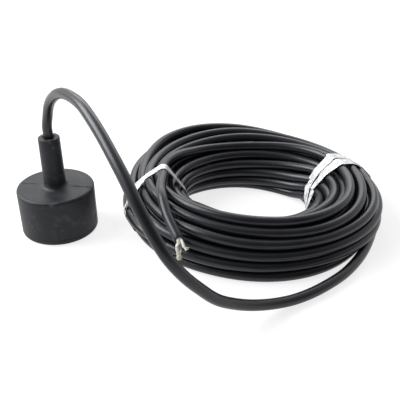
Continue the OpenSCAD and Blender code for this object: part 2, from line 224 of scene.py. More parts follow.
class TransducerColours(bpy.types.PropertyGroup):
    """Colours of the finishes"""
    drum: a_colour("Drum", "Moulded rubber of the drum and neck", (0.0124, 0.0128, 0.0156))
    face: a_colour("Sound face", "Moulded rubber of the sound face", (0.0155, 0.0163, 0.0190))
    jacket: a_colour("Jacket", "Rubber jacket of the cable", (0.0104, 0.0108, 0.0136))
    film: a_colour("Tie film", "Pale film of the ties", (0.86, 0.87, 0.89))
    pale_core: a_colour("Pale core", "Insulation of the pale core", (0.99, 0.96, 0.87))
    # The dark core's insulation is black: this bluish grey is painted sheen, the glint of its glossy
    # insulation put into its colour
    dark_core_painted_sheen: a_colour("Dark core with painted sheen", "Insulation of the dark core", (0.25, 0.29, 0.37))
    wire: a_colour("Wire", "Tinned strands", (0.98, 0.94, 0.79))
    cork: a_colour("Cork", "Cork round the ceramic", (0.42, 0.26, 0.13))
    ceramic: a_colour("Ceramic", "Fired edge of the ceramic disc", (0.62, 0.55, 0.40))
    silver: a_colour("Silver", "Silvered faces of the ceramic disc", (0.62, 0.62, 0.60))
    solder: a_colour("Solder", "Dull solder", (0.58, 0.58, 0.60))
    resin: a_colour("Resin", "Cast resin", (0.045, 0.036, 0.027))
    dust: a_colour("Dust", "Dust and scuffs on the rubber", (0.36, 0.37, 0.39))


class StudioSettings(bpy.types.PropertyGroup):
    """Camera and light"""
    lens: a_level("Lens", "Focal length of the camera", 52.83, "CAMERA")
    key: a_level("Key", "Power of the soft box at the left", 28.0, "POWER")
    top: a_level("Top", "Power of the soft box overhead", 8.5, "POWER")
    fill: a_level("Fill", "Strength of the even light from all round", 0.42)
    opening: a_level("Opening", "Brightness of the room's dark opening, behind the camera", 0.1)


def settings():
    scene = bpy.context.scene
    return scene.transducer_sizes, scene.transducer_colours, scene.transducer_studio


# Shapes

def unit(v):
    v = np.asarray(v, float)
    return v / np.linalg.norm(v, axis=-1, keepdims=True)


def hermite(at, points, asked):
    """Smooth curve through points at parameters at, read at the asked parameters."""
    slope = np.gradient(points, at, axis=0)
    i = np.clip(np.searchsorted(at, asked, side="right") - 1, 0, len(at) - 2)
    h = (at[i + 1] - at[i])[:, None]
    t = (asked - at[i])[:, None] / h
    return ((2 * t**3 - 3 * t**2 + 1) * points[i] + (t**3 - 2 * t**2 + t) * h * slope[i]
            + (3 * t**2 - 2 * t**3) * points[i + 1] + (t**3 - t**2) * h * slope[i + 1])


def distances(points):
    """Distance of each point from the first, along the run."""
    return np.concatenate([[0], np.cumsum(np.linalg.norm(np.diff(points, axis=0), axis=1))])


def run(points, step):
    """Smooth run through points, with a point about every step."""
    points = np.asarray(points, float)
    at = distances(points)
    return hermite(at, points, np.linspace(0, at[-1], max(2, round(at[-1] / step) + 1)))


def tangents(path):
    return unit(np.gradient(path, axis=0))


def carried_sides(path, first):
    """Sideways direction at each point, carried along the path without twisting."""
    along = tangents(path)
    side = np.asarray(first, float)
    found = []
    for t in along:
        side = unit(side - np.dot(side, t) * t)
        found.append(side)
    found = np.array(found)
    return found, np.cross(along, found)


def grid_faces(rows, columns, loop_rows=False, loop_columns=True):
    i = np.arange(rows if loop_rows else rows - 1)[:, None]
    k = np.arange(columns if loop_columns else columns - 1)[None, :]
    j, m = (i + 1) % rows, (k + 1) % columns
    faces = np.stack([i * columns + k, j * columns + k, j * columns + m, i * columns + m], -1)
    return faces.reshape(-1, 4).tolist()


def round_angles(count):
    return np.linspace(0, 2 * np.pi, count, endpoint=False)


def spokes(angle, across, up):
    """Directions round an axis, at angles from across towards up."""
    return np.cos(angle)[:, None] * across + np.sin(angle)[:, None] * up


def tube(path, radius, sides, first=(1, 0, 0), caps=True):
    """Points and faces of a round tube along path; radius is one number or one for each point."""
    across, up = carried_sides(path, first)
    ring = spokes(round_angles(sides), across[:, None], up[:, None])
    r = np.broadcast_to(radius, len(path))[:, None, None]
    points = (path[:, None] + r * ring).reshape(-1, 3)
    faces = grid_faces(len(path), sides)
    if caps:
        last = (len(path) - 1) * sides
        faces += [list(range(sides))[::-1], [last + k for k in range(sides)]]
    return points, faces


def shifted(faces, start):
    return [[start + k for k in face] for face in faces]


def gather(parts):
    """One mesh from several: points and faces."""
    points, faces, start = [], [], 0
    for p, f in parts:
        points.append(p)
        faces += shifted(f, start)
        start += len(p)
    return np.concatenate(points), faces


def piece(name, points, faces, material, replaces=(), sharp=None):
    """A mesh object in metres from points in mm, riding on the part."""
    mesh = bpy.data.meshes.new(name)
    mesh.from_pydata((np.asarray(points) * MM).tolist(), [], faces)
    mesh.shade_smooth()
    if sharp is not None:
        mesh.set_sharp_from_angle(angle=math.radians(sharp))
    mesh.validate()
    obj = bpy.data.objects.new(name, mesh)
    bpy.context.scene.collection.objects.link(obj)
    mesh.materials.append(material)
    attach(obj, "root")
    if replaces:
        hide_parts(*replaces)
    return obj


def store(obj, name, values):
    """Keeps a vector for each point, for the material to read."""
    attribute = obj.data.attributes.new(name, "FLOAT_VECTOR", "POINT")
    attribute.data.foreach_set("vector", np.asarray(values, np.float32).ravel())


def lathe(profile, segments=160):
    """Points and faces of a profile of (radius, height) turned round the Z axis."""
    angle = round_angles(segments)
    r, z = np.array(profile, float).T[:, :, None]
    points = np.stack([r * np.cos(angle), r * np.sin(angle), z + 0 * angle], -1)
    return points.reshape(-1, 3), grid_faces(len(r), segments)


def arc(middle, radius, start, end, count=8):
    angle = np.radians(np.linspace(start, end, count))
    return [(middle[0] + radius * math.cos(a), middle[1] + radius * math.sin(a)) for a in angle]


# The winding

def coil_point(a, out, z):
    """Point of the coil where its middle line's outward normal has direction a, in degrees."""
    c, s = np.cos(np.radians(a)), np.sin(np.radians(a))
    end = np.abs(s) > np.abs(c) + 1e-4
    r = np.where(end, END_ARC_R, SIDE_ARC_R) + out
    x = COIL_MIDDLE[0] + np.where(end, 0, np.sign(c) * ARC_SHIFT) + r * c
    y = COIL_MIDDLE[1] + np.where(end, -np.sign(s) * ARC_SHIFT, 0) + r * s
    return np.stack([x, y, z + 0 * x], -1)


def wind():
    """Angle, place and firmness of each station of the winding, before it settles."""
    rows = [COIL_START]
    for turn, places in enumerate(TURNS):
        for side, place in enumerate(places):
            if place is not None:
                rows.append((360 * turn - 90 + 90 * side, *place, FIRM.get(turn, (0,) * 4)[side]))
    rows += [(360 * turn - 90 + on, out, z, STRAY_FIRM) for turn, on, out, z in STRAYS]
    rows = np.array(sorted(rows))
    step = 360 / STATIONS
    angle = np.arange(math.ceil(COIL_START[0] / step) * step, rows[-1, 0] + 0.1, step)
    firm = np.interp(angle, rows[:, 0], rows[:, 3]) + LEAST_FIRM
    return angle, hermite(rows[:, 0], rows[:, 1:3], angle), firm


def settle(angle, place, firm, cable_d, rounds=800):
    """Turns that lie in each other at a station push apart, and the push spreads along the cable."""
    gap = cable_d * TURN_GAP
    home = place.copy()
    for _ in range(10):
        home[1:-1] = 0.25 * home[:-2] + 0.5 * home[1:-1] + 0.25 * home[2:]
    place = home.copy()
    station = np.round(angle * STATIONS / 360).astype(int) % STATIONS
    groups = [np.nonzero(station == s)[0] for s in range(STATIONS)]
    batches = [np.array([g for g in groups if len(g) == n]) for n in sorted({len(g) for g in groups})]
    # The hold of each place eases off towards the end
    for ease in np.repeat((1, 0.3, 0.06), (rounds // 2, rounds // 4, rounds // 4)):
        hold = firm * ease
        move = np.zeros_like(place)
        for batch in batches:
            apart = place[batch][:, :, None] - place[batch][:, None]
            far = np.hypot(apart[..., 0], apart[..., 1]) + np.eye(batch.shape[1]) * 1e6
            push = np.clip(gap - far, 0, None) / far * 0.5
            move[batch] += (apart * push[..., None]).sum(2)
        drift = (place + PUSH * move - home) * (1 - hold[:, None])
        drift[1:-1] += SPREAD * (0.25 * drift[:-2] - 0.5 * drift[1:-1] + 0.25 * drift[2:])
        place = home + drift
        place[:, 1] = np.maximum(place[:, 1], cable_d / 2)
    return place


def tail_route():
    return np.array([(COIL_MIDDLE[0] + x, COIL_MIDDLE[1] + y, TAIL_HEIGHT + z) for x, y, z in TAIL_BEND])


def cut_frame():
    """Middle and directions of the jacket's cut end: along, to the side, up."""
    route = tail_route()
    along = unit(route[-1] - route[-2])
    side = unit(np.cross(along, (0, 0, 1)))
    return route[-1], along, side, np.cross(side, along)


def cut_back(offset, along, radius):
    """How far past a square cut the slanted one lies, at an offset from the cable's axis."""
    facing = unit(np.array(CUT_FACES) - np.dot(CUT_FACES, along) * along)
    return CUT_SLANT * (radius - offset @ facing)[..., None]


SETTLED = {}


def winding():
    """Angles and places of the settled turns, worked out once for a cable's diameter."""
    cable_d = settings()[0].cable_d / MM
    if cable_d not in SETTLED:
        angle, place, firm = wind()
        SETTLED[cable_d] = angle, settle(angle, place, firm, cable_d)
    return SETTLED[cable_d]


def section(a):
    """Places of all turns where the coil's normal has direction a."""
    angle, place = winding()
    angle = np.append(angle, angle[-1] + TAIL_LEAVES[0])
    place = np.vstack([place, TAIL_LEAVES[1:]])
    turns = np.arange(math.ceil((angle[0] - a) / 360), math.floor((angle[-1] - a) / 360) + 1) * 360 + a
    return np.stack([np.interp(turns, angle, place[:, 0]), np.interp(turns, angle, place[:, 1])], -1)


def cable_path():
    """Middle line of the whole cable, with a point about every 5 mm."""
    angle, place = winding()
    turns = coil_point(angle, place[:, 0], place[:, 1])
    return run(np.concatenate([np.array(LEAD_ROUTE, float), turns[1:], tail_route()]), 5.0)


# Finishes

def fill(tree, node, values):
    """Sets a node's inputs, or links those that are given a socket."""
    for key, value in values.items():
        if isinstance(value, bpy.types.NodeSocket):
            tree.links.new(value, node.inputs[key])
        else:
            node.inputs[key].default_value = value


def add(tree, kind, values=None, **options):
    """A node with its options set, and its inputs set or linked."""
    node = tree.nodes.new(kind)
    for name, value in options.items():
        setattr(node, name, value)
    fill(tree, node, values or {})
    return node


def maths(tree, operation, a, b=0.0):
    return add(tree, "ShaderNodeMath", {0: a, 1: b}, operation=operation).outputs[0]


def remap(tree, value, low, high, to_low=0.0, to_high=1.0):
    node = add(tree, "ShaderNodeMapRange", {"Value": value, "From Min": low, "From Max": high,
                                            "To Min": to_low, "To Max": to_high})
    return node.outputs["Result"]


def blend_colour(tree, factor, a, b):
    def socket(value):
        return value if isinstance(value, bpy.types.NodeSocket) else (*value, 1)
    node = add(tree, "ShaderNodeMix", {0: factor, 6: socket(a), 7: socket(b)}, data_type="RGBA")
    return node.outputs[2]


def new_group(name, numbers, outputs):
    """An empty shader node group that takes a vector and some numbers, with what goes in and out."""
    group = bpy.data.node_groups.new(name, "ShaderNodeTree")
    group.interface.new_socket(name="Vector", in_out="INPUT", socket_type="NodeSocketVector")
    for label, value in numbers.items():
        socket = group.interface.new_socket(name=label, in_out="INPUT", socket_type="NodeSocketFloat")
        socket.default_value = value
    for label in outputs:
        group.interface.new_socket(name=label, in_out="OUTPUT", socket_type="NodeSocketFloat")
    return group, group.nodes.new("NodeGroupInput").outputs, group.nodes.new("NodeGroupOutput").inputs


def noise(tree, vector, scale, detail=2.0, roughness=0.5):
    node = add(tree, "ShaderNodeTexNoise", {"Vector": vector, "Scale": scale, "Detail": detail,
                                            "Roughness": roughness})
    return node.outputs["Fac"]


def grain_group():
    """Fine grain of a mould or die, and broad uneven patches."""
    numbers = {"Grain Scale": 2500.0, "Patch Scale": 60.0}
    group, given, out = new_group("Grain", numbers, ["Grain", "Patches"])
    group.links.new(noise(group, given["Vector"], given["Grain Scale"], 3.0), out["Grain"])
    patches = noise(group, given["Vector"], given["Patch Scale"], 4.0, 0.6)
    group.links.new(remap(group, patches, 0.3, 0.7), out["Patches"])
    return group


def scuff_group():
    """Rubbed places: thin pale streaks inside broad worn areas."""
    numbers = {"Streak Scale": 300.0, "Area Scale": 30.0, "Amount": 0.5}
    group, given, out = new_group("Scuffs", numbers, ["Mask"])
    streaks = remap(group, noise(group, given["Vector"], given["Streak Scale"], 5.0, 0.65), 0.52, 0.74)
    low = maths(group, "SUBTRACT", 0.75, maths(group, "MULTIPLY", given["Amount"], 0.3))
    area = maths(group, "SUBTRACT", noise(group, given["Vector"], given["Area Scale"], 3.0), low)
    area = remap(group, area, 0.0, 0.18)
    group.links.new(maths(group, "MULTIPLY", streaks, area), out["Mask"])
    return group


def dust_group():
    """Scattered pale specks."""
    numbers = {"Scale": 260.0, "Share": 0.2, "Size": 0.12}
    group, given, out = new_group("Dust", numbers, ["Mask"])
    cells = add(group, "ShaderNodeTexVoronoi", {"Vector": given["Vector"], "Scale": given["Scale"]})
    pick = add(group, "ShaderNodeSeparateColor", {"Color": cells.outputs["Color"]})
    chosen = maths(group, "LESS_THAN", pick.outputs["Red"], given["Share"])
    size = maths(group, "MULTIPLY", given["Size"], pick.outputs["Green"])
    speck = maths(group, "LESS_THAN", cells.outputs["Distance"], size)
    group.links.new(maths(group, "MULTIPLY", chosen, speck), out["Mask"])
    return group


GROUPS = {}


def effect(tree, maker, values):
    """Places a shared effect in a material with its own values."""
    if maker not in GROUPS:
        GROUPS[maker] = maker()
    return add(tree, "ShaderNodeGroup", values, node_tree=GROUPS[maker]).outputs


def new_material(name):
    material = bpy.data.materials.new(name)
    material.use_nodes = True
    tree = material.node_tree
    return material, tree, tree.nodes["Principled BSDF"]


def object_place(tree):
    return add(tree, "ShaderNodeTexCoord").outputs["Object"]


def stored_place(tree, name, stretch=(1, 1, 1)):
    vector = add(tree, "ShaderNodeAttribute", attribute_name=name).outputs["Vector"]
    return add(tree, "ShaderNodeMapping", {"Vector": vector, "Scale": stretch}).outputs["Vector"]


def bump(tree, height, strength, distance):
    node = add(tree, "ShaderNodeBump", {"Height": height, "Strength": strength, "Distance": distance})
    return node.outputs["Normal"]


def grained(tree, place, grain, patch):
    return effect(tree, grain_group, {"Vector": place, "Grain Scale": grain, "Patch Scale": patch})


def scuffed(tree, place, streak, area, amount):
    return effect(tree, scuff_group, {"Vector": place, "Streak Scale": streak, "Area Scale": area,
                                      "Amount": amount})["Mask"]


def specked(tree, place, scale, share, size):
    return effect(tree, dust_group, {"Vector": place, "Scale": scale, "Share": share,
                                     "Size": size})["Mask"]


def uneven(tree, factor, base, low, high):
    """A tone that runs from low to high times the base colour."""
    return blend_colour(tree, factor, [c * low for c in base], [min(1, c * high) for c in base])


def marked(tree, tone, mask, share, mark):
    return blend_colour(tree, maths(tree, "MULTIPLY", mask, share), tone, mark)


RUBBER_SHEEN = {"Specular IOR Level": 0.44, "Specular Tint": (0.93, 0.95, 1.0, 1)}


def moulded_rubber(name, base, dust, patch=60.0, scuffs=1.1):
    material, tree, shader = new_material(name)
    place = object_place(tree)
    grain = grained(tree, place, 2600.0, patch)
    worn = scuffed(tree, place, 120.0, 34.0, scuffs)
    specks = specked(tree, place, 230.0, 0.05, 0.09)
    tone = uneven(tree, grain["Patches"], base, 0.6, 1.5)
    tone = marked(tree, marked(tree, tone, worn, 0.19, dust), specks, 0.35, dust)
    roughness = maths(tree, "ADD", remap(tree, grain["Patches"], 0, 1, 0.42, 0.56),
                      maths(tree, "MULTIPLY", worn, 0.18))
    height = maths(tree, "ADD", grain["Grain"], maths(tree, "MULTIPLY", grain["Patches"], 0.5))
    normal = bump(tree, height, 0.25, 0.00012)
    fill(tree, shader, {"Base Color": tone, "Roughness": roughness, "Normal": normal, **RUBBER_SHEEN,
                        "Specular IOR Level": 0.32})
    return material


def jacket_rubber(name, base, dust):
    material, tree, shader = new_material(name)
    lay = stored_place(tree, "lay")
    along = stored_place(tree, "lay", (0.06, 1, 1))
    grain = grained(tree, lay, 3200.0, 45.0)
    drawn = grained(tree, along, 900.0, 160.0)
    worn = scuffed(tree, lay, 260.0, 22.0, 0.45)
    specks = specked(tree, lay, 210.0, 0.09, 0.085)
    tone = uneven(tree, grain["Patches"], base, 0.8, 1.25)
    tone = marked(tree, marked(tree, tone, worn, 0.03, dust), specks, 0.6, dust)
    roughness = maths(tree, "ADD", remap(tree, drawn["Patches"], 0, 1, 0.28, 0.35),
                      maths(tree, "MULTIPLY", worn, 0.08))
    height = maths(tree, "ADD", maths(tree, "MULTIPLY", grain["Grain"], 0.5), drawn["Patches"])
    normal = bump(tree, height, 0.08, 0.00004)
    fill(tree, shader, {"Base Color": tone, "Roughness": roughness, "Normal": normal, **RUBBER_SHEEN})
    return material


def creased_film(name, base):
    material, tree, shader = new_material(name)
    grain = grained(tree, object_place(tree), 900.0, 190.0)
    tone = uneven(tree, remap(tree, grain["Patches"], 0.36, 0.56), base, 0.66, 1)
    cover = remap(tree, grain["Patches"], 0, 1, 0.86, 1.0)
    rough = remap(tree, grain["Grain"], 0.3, 0.7, 0.16, 0.32)
    normal = bump(tree, grain["Patches"], 0.35, 0.0004)
    fill(tree, shader, {"Base Color": tone, "Roughness": rough, "Alpha": cover, "Normal": normal,
                        "Specular IOR Level": 0.6, "Coat Weight": 0.3})
    return material


def plain_finish(name, base, rough, metallic=0.0, grain_scale=1800.0, patch_scale=150.0, vary=0.2):
    """A finish with fine grain and uneven tone: insulation, resin, solder, wire."""
    material, tree, shader = new_material(name)
    grain = grained(tree, object_place(tree), grain_scale, patch_scale)
    tone = uneven(tree, grain["Patches"], base, 1 - vary, 1 + vary)
    roughness = remap(tree, grain["Grain"], 0.3, 0.7, rough - 0.06, rough + 0.08)
    normal = bump(tree, grain["Grain"], 0.3, 0.00006)
    fill(tree, shader, {"Base Color": tone, "Roughness": roughness, "Normal": normal, "Metallic": metallic})
    return material


def cork_finish(name, base):
    material, tree, shader = new_material(name)
    place = object_place(tree)
    grain = grained(tree, place, 1400.0, 420.0)
    cells = add(tree, "ShaderNodeTexVoronoi", {"Vector": place, "Scale": 520.0})
    crumbs = uneven(tree, grain["Patches"], base, 0.6, 1.3)
    pores = remap(tree, cells.outputs["Distance"], 0.1, 0.45)
    tone = blend_colour(tree, pores, crumbs, [c * 0.45 for c in base])
    roughness = remap(tree, grain["Grain"], 0, 1, 0.75, 0.95)
    normal = bump(tree, cells.outputs["Distance"], 0.5, 0.0003)
    fill(tree, shader, {"Base Color": tone, "Roughness": roughness, "Normal": normal})
    return material


def ceramic_finish(name, base, silver):
    """Fired ceramic whose flat faces are silvered."""
    material, tree, shader = new_material(name)
    grain = grained(tree, object_place(tree), 1500.0, 260.0)
    up = add(tree, "ShaderNodeSeparateXYZ", {0: add(tree, "ShaderNodeNewGeometry").outputs["Normal"]})
    face = maths(tree, "GREATER_THAN", maths(tree, "ABSOLUTE", up.outputs["Z"]), 0.7)
    fired = uneven(tree, grain["Patches"], base, 0.85, 1.12)
    tone = blend_colour(tree, face, fired, silver)
    fill(tree, shader, {"Base Color": tone, "Metallic": maths(tree, "MULTIPLY", face, 0.9),
                        "Roughness": remap(tree, grain["Grain"], 0.3, 0.7, 0.34, 0.52),
                        "Normal": bump(tree, grain["Grain"], 0.2, 0.00005)})
    return material


# Operators: one for each piece or group of like pieces

class TRANSDUCER_OT_cable(bpy.types.Operator):
    """Winds the cable from the neck to its cut end"""
    bl_idname = "transducer.cable"
    bl_label = "Wind Cable"

    def execute(self, context):
        sizes, colours, _ = settings()
        radius, sides = sizes.cable_d / MM / 2, CABLE_SIDES
        path = cable_path()
        points, faces = tube(path, radius, sides, caps=False)
        angle = round_angles(sides)
        lay = np.broadcast_arrays(distances(path)[:, None], radius * np.cos(angle), radius * np.sin(angle))
        lay = np.stack(lay, -1).reshape(-1, 3)
        # The cut end: a rounded lip, a wall and a floor inside it
        across, up = (s[-1] for s in carried_sides(path, (1, 0, 0)))
        ring = spokes(angle, across, up)
        along = tangents(path)[-1]
        bore = radius - sizes.jacket_wall / MM
        lips = [(radius - 0.12, 0.25), (radius - 0.45, 0.36), (bore + 0.3, 0.3), (bore, 0.0),
                (bore, -2.2), (0.02, -2.2)]
        wobble = 0.12 * np.sin(3 * angle + 0.7) + 0.08 * np.sin(7 * angle)
        rows = []
        for r, z in lips:
            reach = z + (wobble[:, None] if z > -1 else 0) + cut_back(r * ring, along, radius)
            rows.append(path[-1] + r * ring + reach * along)
        first = len(points) - sides
        points = np.concatenate([points, *rows])
        lay = np.concatenate([lay] + [lay[-sides:] + (z, 0, 0) for _, z in lips])
        faces += shifted(grid_faces(len(lips) + 1, sides), first)
        jacket = jacket_rubber("jacket rubber", colours.jacket, colours.dust)
        obj = piece("cable", points, faces, jacket,
                    ("cable_lead", "cable_coil", "cable_tail"), sharp=50)
        store(obj, "lay", lay * MM)
        return {"FINISHED"}


class TRANSDUCER_OT_drum(bpy.types.Operator):
    """Moulds the rubber drum with its neck, and the sound face under it"""
    bl_idname = "transducer.drum"
    bl_label = "Mould Drum"

    def execute(self, context):
        sizes, colours, _ = settings()
        low, high = (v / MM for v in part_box("housing"))
        r, neck_top, seam = high.x, high.z, low.z
        outer = [(r, seam), (r, 20), (r, 35)] + arc((r - RIM_R, DRUM_TOP - RIM_R), RIM_R, 0, 90, 12)
        outer += [(30, DRUM_TOP), (22, DRUM_TOP)]
        outer += arc((NECK_FOOT_R + FILLET_R, DRUM_TOP + FILLET_R), FILLET_R, 270, 180, 14)
        outer += [(11.2, 65), (11.0, 85)] + arc((9.8, neck_top - NECK_LIP_R), NECK_LIP_R, 0, 90, 8)
        recess = neck_top - RECESS_DEPTH
        outer += [(RECESS_R + 0.3, neck_top), (RECESS_R + 0.05, neck_top - 0.12), (RECESS_R, neck_top - 0.4),
                  (RECESS_R, recess), (BORE_R, recess), (BORE_R, 60), (BORE_R, CAVITY_TOP),
                  (CAVITY_R, CAVITY_TOP), (CAVITY_R, seam)]
        points, faces = lathe(outer + [outer[0]])
        rubber = moulded_rubber("drum rubber", colours.drum, colours.dust)
        piece("drum", points, faces, rubber, ("housing",), sharp=35)
        self.mould_line(sizes, rubber, r, seam)
        face = moulded_rubber("face rubber", colours.face, colours.dust, patch=80.0, scuffs=0.75)
        edge = arc((r - FACE_EDGE_R, FACE_EDGE_R), FACE_EDGE_R, 270, 360, 10)
        sole = [(0.01, 0), (20, 0), (r - FACE_EDGE_R, 0)] + edge
        sole += [(r, seam - 0.6), (r - 0.08, seam - 0.35), (r - 0.3, seam - 0.1), (r - 0.42, seam)]
        sole += [(SPIGOT_R, seam)] + [(x, seam + SPIGOT_H) for x in (SPIGOT_R, 20, 0.01)]
        points, faces = lathe(sole)
        piece("sound_face", points, faces, face, ("acoustic_window",), sharp=35)
        return {"FINISHED"}

    def mould_line(self, sizes, rubber, r, seam):
        """Low ridge left by the mould's joint, over the top and down both sides of the drum."""
        half, height = 0.42, sizes.mould_line_h / MM
        profile = [(15.6, DRUM_TOP + 0.03), (20, DRUM_TOP), (30, DRUM_TOP)]
        profile += arc((r - RIM_R, DRUM_TOP - RIM_R), RIM_R, 90, 0, 10)
        profile = run([(x, 0, z) for x, z in profile + [(r, 35), (r, 20), (r, seam + 0.5)]], 0.8)
        along = tangents(profile)
        out = np.column_stack([-along[:, 2], 0 * along[:, 0], along[:, 0]])
        count = np.arange(len(profile))
        wave = 0.75 + 0.25 * np.sin(count * 0.9) * np.sin(count * 0.37)
        fade = np.clip(np.minimum(count, count[::-1]) / 6, 0.05, 1)
        rows = []
        for side, lift in ((-half, -0.1), (-half * 0.5, 0.55), (0, 1), (half * 0.5, 0.55), (half, -0.1)):
            tall = np.where(lift > 0, height * lift * wave * fade, lift)
            rows.append(profile + out * tall[:, None] + (0, side, 0))
        strip = np.stack(rows, 1).reshape(-1, 3)
        parts = []
        for turn in (0, math.pi):
            a = sizes.mould_line_angle + turn
            c, s = math.cos(a), math.sin(a)
            turned = strip @ np.array([(c, s, 0), (-s, c, 0), (0, 0, 1)])
            parts.append((turned, grid_faces(len(profile), len(rows))))
        points, faces = gather(parts)
        piece("mould_line", points, faces, rubber, sharp=60)


class TRANSDUCER_OT_ties(bpy.types.Operator):
    """Wraps the two ties of pale film round the coil"""
    bl_idname = "transducer.ties"
    bl_label = "Wrap Ties"

    def execute(self, context):
        sizes, colours, _ = settings()
        self.film = creased_film("creased film", colours.film)
        self.sizes = sizes
        left, right = math.degrees(sizes.left_tie_angle), math.degrees(sizes.right_tie_angle)
        self.wrap("tie_left_film", "tie_left", sizes.left_strap_w / MM, [
            (0, left + 5, 0.8), (28, left + 4, 0.8), (48, left - 3, 0.8), (60, left - 3, 0.75),
            (92, left - 1, 0.75), (120, left - 1.5, 1.1), (145, left - 1.5, 1.35), (155, left - 1, 1),
            (185, left + 2, 0.6), (270, left + 3, 0.8), (360, left + 5, 0.8)], seed=3)
        # The right tie is wound twice: its passes gather inside and spread towards the outside
        half, inner = math.degrees(sizes.right_tie_spread) / 2, math.degrees(sizes.right_tie_inner)
        first, second = right + half, right - half
        self.wrap("tie_right_film", "tie_right", sizes.right_strap_w / MM, [
            (-45, first, 1), (30, first, 1), (75, first, 1), (120, first - 1, 0.8), (134, first - 2, 0.62),
            (147, first - 5.5, 0.5), (165, inner + 11, 0.5), (200, inner + 7, 0.5), (225, inner + 7, 0.6),
            (315, second + 8, 0.8), (390, second + 10, 0.8), (420, second + 6, 0.75),
            (460, second + 1.5, 0.88), (491, second + 2.6, 0.68), (500, second + 1.5, 0.58),
            (515, inner + 4, 0.55), (540, inner - 3, 0.5), (585, inner - 8, 0.5)], seed=8)
        return {"FINISHED"}

    def outline(self, a, normals, radius):
        """Film's section drawn round the turns at angle a: how far out and how high, for each normal."""
        facing = np.stack([np.cos(np.radians(normals)), np.sin(np.radians(normals))], -1)
        turns = section(a)
        return turns[np.argmax(facing @ turns.T, axis=1)] + radius * facing, facing

    def wrap(self, name, node, width, course, seed):
        """Film along a course of (normal's turn, direction round the coil, share of the width)."""
        turned, angles, shares = np.array(course, float).T
        radius = self.sizes.cable_d / MM / 2 + FILM_CLEAR
        closed = turned[-1] - turned[0] == 360
        normals = np.arange(turned[0], turned[-1] + 0.1, 3.0)
        # The course is followed by length, so that the film runs straight from turn to turn
        places = self.outline(angles.mean(), normals, radius)[0]
        gone = distances(places)
        knots = np.interp(turned, normals, gone)
        centre, share = self.eased(gone, knots, angles), self.eased(gone, knots, shares)
        columns = np.linspace(-0.5, 0.5, FILM_COLUMNS)
        swing = np.degrees(width * share / (SIDE_ARC_R + places[:, 0]))
        lift = FILM_RISE * (normals - turned[0]) / 360
        grid, out = np.zeros((2, len(normals), len(columns), 3))
        for i in range(len(normals)):
            for k, b in enumerate(centre[i] + swing[i] * columns):
                (place,), (facing,) = self.outline(b, normals[i:i + 1], radius + lift[i])
                grid[i, k] = coil_point(b, *place)
                c, s = math.cos(math.radians(b)), math.sin(math.radians(b))
                out[i, k] = (facing[0] * c, facing[0] * s, facing[1])
        creases = self.creases(distances(grid[:, len(columns) // 2]), columns, seed)
        grid = grid + creases[..., None] * out
        grid[..., 2] = np.maximum(grid[..., 2], FILM_LOW)
        if closed:
            grid = grid[:-1]
        faces = grid_faces(len(grid), len(columns), loop_rows=closed, loop_columns=False)
        obj = piece(name, grid.reshape(-1, 3), faces, self.film, (node,))
        solid = obj.modifiers.new("film", "SOLIDIFY")
        solid.thickness = self.sizes.strap_t
        solid.offset = 0

    def eased(self, gone, knots, values):
        """Values at the course's knots, read along the film with softened bends."""
        fine = np.linspace(0, gone[-1], round(gone[-1] / FILM_STEP) + 1)
        straight = np.pad(np.interp(fine, knots, values), EASE_SPAN // 2, mode="edge")
        return np.interp(gone, fine, np.convolve(straight, np.ones(EASE_SPAN) / EASE_SPAN, "valid"))

    def creases(self, gone, columns, seed):
        """Height of the film's creases: slanting ones across it, and a few along it."""
        draw = np.random.default_rng(seed)
        height = np.zeros((len(gone), len(columns)))
        for _ in range(int(gone[-1] / 12)):
            start, slope = draw.uniform(0, gone[-1]), draw.uniform(-9, 9)
            off = gone[:, None] - start - slope * columns
            height += draw.uniform(0.1, 0.35) * np.exp(-(off / draw.uniform(0.7, 1.8)) ** 2)
        for _ in range(6):
            line = draw.uniform(-0.45, 0.45) + draw.uniform(-0.2, 0.2) * gone[:, None] / gone[-1]
            height += draw.uniform(0.1, 0.4) * np.exp(-((columns - line) / 0.05) ** 2)
        return height


